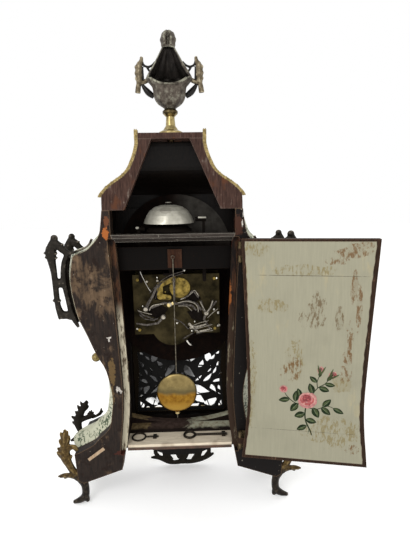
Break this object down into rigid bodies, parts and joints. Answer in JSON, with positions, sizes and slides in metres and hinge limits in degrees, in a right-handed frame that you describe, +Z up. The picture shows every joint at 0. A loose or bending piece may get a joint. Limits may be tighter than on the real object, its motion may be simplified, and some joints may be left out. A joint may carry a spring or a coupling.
{
  "type": "cartel clock",
  "caption": "Waisted bracket clock in a painted wooden case with bronze feet and mounts, urn finial, striking movement, bells and a hinged rear door.",
  "frame": {"origin": "on the ground under the middle of the case", "axes": "+Z up, +Y out of the back of the clock towards the rear door, +X to the left of someone who looks at the back"},
  "size_m": [0.4908, 0.1659, 0.732],
  "materials": {
    "case_wood": "worn dark brown stain",
    "rail_wood": "dusty bare wood",
    "floor_wood": "bare pale wood",
    "inner_wood": "bare brown wood",
    "block_wood": "reddish wood",
    "painted_side": "painted, worn through to the wood",
    "front_paint": "painted satin",
    "hat_wood": "dusty reddish wood",
    "hat_paint": "painted satin",
    "dial_iron": "dull dark grey",
    "gilt_brass": "polished and worn",
    "hinge_brass": "dull",
    "movement_brass": "aged",
    "plate_brass": "dark and dull",
    "bob_brass": "polished, half tarnished",
    "bronze": "dark cast bronze, rubbed on the edges",
    "urn_metal": "rough inside of a casting",
    "bell_metal": "satin silver grey",
    "black_steel": "blackened",
    "lever_steel": "bright worn steel",
    "screw_steel": "bright",
    "hand_steel": "black",
    "enamel": "glossy enamel",
    "glass": "clear",
    "door_paint": "cream paint with worn brown streaks",
    "key_iron": "dark iron"
  },
  "bodies": {
    "case": {"back_stile_left": "case_wood", "back_stile_right": "case_wood", "back_rail": "rail_wood", "bottom_board": "floor_wood", "base_linings": "inner_wood", "side_panel_left": "painted_side", "side_panel_right": "painted_side", "front_frame": "front_paint", "corner_blocks": "inner_wood", "suspension_board": "inner_wood", "suspension_block": "block_wood", "dial_board": "dial_iron", "hat_back_frame": "hat_wood", "hat_sides": "hat_paint", "hat_front": "hat_paint", "hat_top_board": "hat_wood", "hat_trims": "gilt_brass", "corner_mounts": "bronze", "feet_back": "bronze", "feet_front": "bronze", "apron_mount": "bronze", "side_rosettes": "gilt_brass", "finial_pedestal": "gilt_brass", "finial_urn": "urn_metal", "finial_handles": "gilt_brass", "door_hinges": "hinge_brass", "enamel_dial": "enamel", "back_plate": "plate_brass", "front_plate": "plate_brass", "plate_pillars": "movement_brass", "back_cock": "movement_brass", "lever_fixings": "screw_steel", "bell_stand": "black_steel", "upper_bell": "bell_metal", "lower_bell": "black_steel", "keys": "key_iron"},
    "rear_door": {"rear_door": "door_paint"},
    "rear_latch": {"rear_door_latch": "hinge_brass"},
    "front_door": {"front_door_frame": "gilt_brass", "front_door_glass": "glass", "front_door_grille": "bronze"},
    "pendulum": {"pendulum_rod": "screw_steel", "pendulum_bob": "bob_brass"},
    "rating_nut": {"rating_nut": "gilt_brass"},
    "anchor": {"anchor_crutch": "lever_steel"},
    "minute_train": {"minute_hand": "hand_steel", "center_arbor": "movement_brass"},
    "hour_hand": {"hour_hand": "hand_steel"},
    "third_wheel": {"third_wheel": "movement_brass"},
    "escape_wheel": {"escape_wheel": "movement_brass"},
    "going_barrel": {"going_barrel": "movement_brass"},
    "strike_barrel": {"strike_barrel": "movement_brass"},
    "count_wheel": {"count_wheel": "movement_brass"},
    "hammer_high": {"hammer_high": "lever_steel"},
    "hammer_low": {"hammer_low": "lever_steel"},
    "lifting_lever": {"lifting_lever": "lever_steel"},
    "rack_lever": {"rack_lever": "lever_steel"},
    "warning_lever": {"warning_lever": "lever_steel"},
    "stop_lever": {"stop_lever": "lever_steel"}
  },
  "joints": [
    {"name": "rear_door_swing", "type": "hinge", "parent": "case", "child": "rear_door", "pos_m": [-0.0985, 0.0532, 0.27], "axis": [0, 0, 1], "range_deg": [-169, 6]},
    {"name": "rear_latch_turn", "type": "hinge", "parent": "rear_door", "child": "rear_latch", "pos_m": [-0.26992, 0.08947, 0.293], "axis": [-0.1908, -0.9816, 0], "range_deg": [0, 90]},
    {"name": "front_door_swing", "type": "hinge", "parent": "case", "child": "front_door", "pos_m": [0.1225, -0.0583, 0.335], "axis": [0, 0, 1], "range_deg": [0, 115]},
    {"name": "pendulum_swing", "type": "hinge", "parent": "case", "child": "pendulum", "pos_m": [0.003, 0.025, 0.412], "axis": [0, 1, 0], "range_deg": [-3, 3]},
    {"name": "anchor_rock", "type": "hinge", "parent": "case", "child": "anchor", "pos_m": [0.003, -0.01, 0.375], "axis": [0, 1, 0], "range_deg": [-6.5, 6.5]},
    {"name": "rating_nut_turn", "type": "hinge", "parent": "pendulum", "child": "rating_nut", "pos_m": [0.003, 0.025, 0.15], "axis": [0, 0, 1], "continuous": true},
    {"name": "minute_turn", "type": "hinge", "parent": "case", "child": "minute_train", "pos_m": [0, -0.02, 0.335], "axis": [0, 1, 0], "continuous": true},
    {"name": "hour_turn", "type": "hinge", "parent": "case", "child": "hour_hand", "pos_m": [0, -0.04, 0.335], "axis": [0, 1, 0], "continuous": true},
    {"name": "third_wheel_turn", "type": "hinge", "parent": "case", "child": "third_wheel", "pos_m": [0.018, -0.01, 0.352], "axis": [0, 1, 0], "continuous": true},
    {"name": "escape_wheel_turn", "type": "hinge", "parent": "case", "child": "escape_wheel", "pos_m": [0.003, -0.01, 0.364], "axis": [0, 1, 0], "continuous": true},
    {"name": "going_barrel_turn", "type": "hinge", "parent": "case", "child": "going_barrel", "pos_m": [0.034, -0.01, 0.316], "axis": [0, 1, 0], "continuous": true},
    {"name": "strike_barrel_turn", "type": "hinge", "parent": "case", "child": "strike_barrel", "pos_m": [-0.034, -0.01, 0.316], "axis": [0, 1, 0], "continuous": true},
    {"name": "count_wheel_turn", "type": "hinge", "parent": "case", "child": "count_wheel", "pos_m": [-0.006, 0.004, 0.359], "axis": [0, 1, 0], "continuous": true},
    {"name": "hammer_high_swing", "type": "hinge", "parent": "case", "child": "hammer_high", "pos_m": [-0.046, 0.007, 0.372], "axis": [0, 1, 0], "range_deg": [-14, 1.1]},
    {"name": "hammer_low_swing", "type": "hinge", "parent": "case", "child": "hammer_low", "pos_m": [0.056, 0.007, 0.372], "axis": [0, 1, 0], "range_deg": [-1.2, 14]},
    {"name": "lifting_lever_rock", "type": "hinge", "parent": "case", "child": "lifting_lever", "pos_m": [0.05, 0.01, 0.326], "axis": [0, 1, 0], "range_deg": [-4, 4]},
    {"name": "rack_lever_rock", "type": "hinge", "parent": "case", "child": "rack_lever", "pos_m": [-0.048, 0.01, 0.317], "axis": [0, 1, 0], "range_deg": [-4, 4]},
    {"name": "warning_lever_rock", "type": "hinge", "parent": "case", "child": "warning_lever", "pos_m": [0.011, 0.006, 0.332], "axis": [0, 1, 0], "range_deg": [-2.5, 2.5]},
    {"name": "stop_lever_rock", "type": "hinge", "parent": "case", "child": "stop_lever", "pos_m": [0.022, 0.01, 0.312], "axis": [0, 1, 0], "range_deg": [-4, 4]}
  ],
  "couplings": [
    {"joint": "anchor_rock", "follows": "pendulum_swing", "ratio": 2.0882},
    {"joint": "hour_turn", "follows": "minute_turn", "ratio": 0.083333},
    {"joint": "third_wheel_turn", "follows": "minute_turn", "ratio": -6.6667},
    {"joint": "escape_wheel_turn", "follows": "minute_turn", "ratio": 40},
    {"joint": "going_barrel_turn", "follows": "minute_turn", "ratio": -0.16667},
    {"joint": "count_wheel_turn", "follows": "strike_barrel_turn", "ratio": -1}
  ]
}
